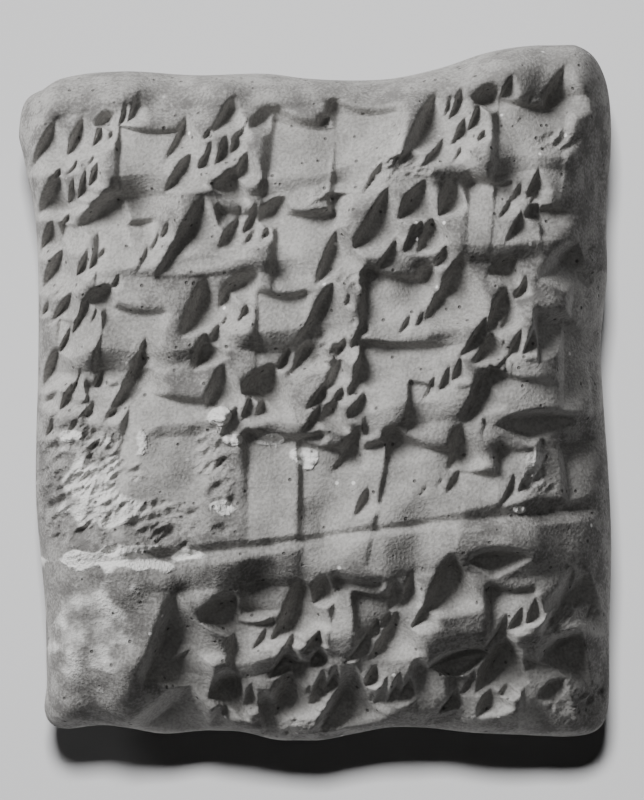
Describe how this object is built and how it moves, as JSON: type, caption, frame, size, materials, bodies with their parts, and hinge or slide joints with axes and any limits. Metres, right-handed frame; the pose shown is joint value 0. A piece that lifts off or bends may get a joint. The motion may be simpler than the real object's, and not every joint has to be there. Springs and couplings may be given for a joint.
{
  "type": "cuneiform tablet",
  "caption": "Small cushion-shaped clay tablet lying on its convex back, its face covered with rows of wedge-shaped stylus strokes above and below a ruled line.",
  "frame": {"origin": "on the surface the tablet lies on, under the middle of its bounding box", "axes": "+Z out of the written face, +Y from the foot of the writing to its head, +X along the rows to the right"},
  "size_m": [0.0307, 0.036, 0.0154],
  "materials": {
    "clay": "matt unglazed clay, dry, with pale crust in the hollows"
  },
  "bodies": {
    "root": {"tablet": "clay"}
  },
  "joints": []
}
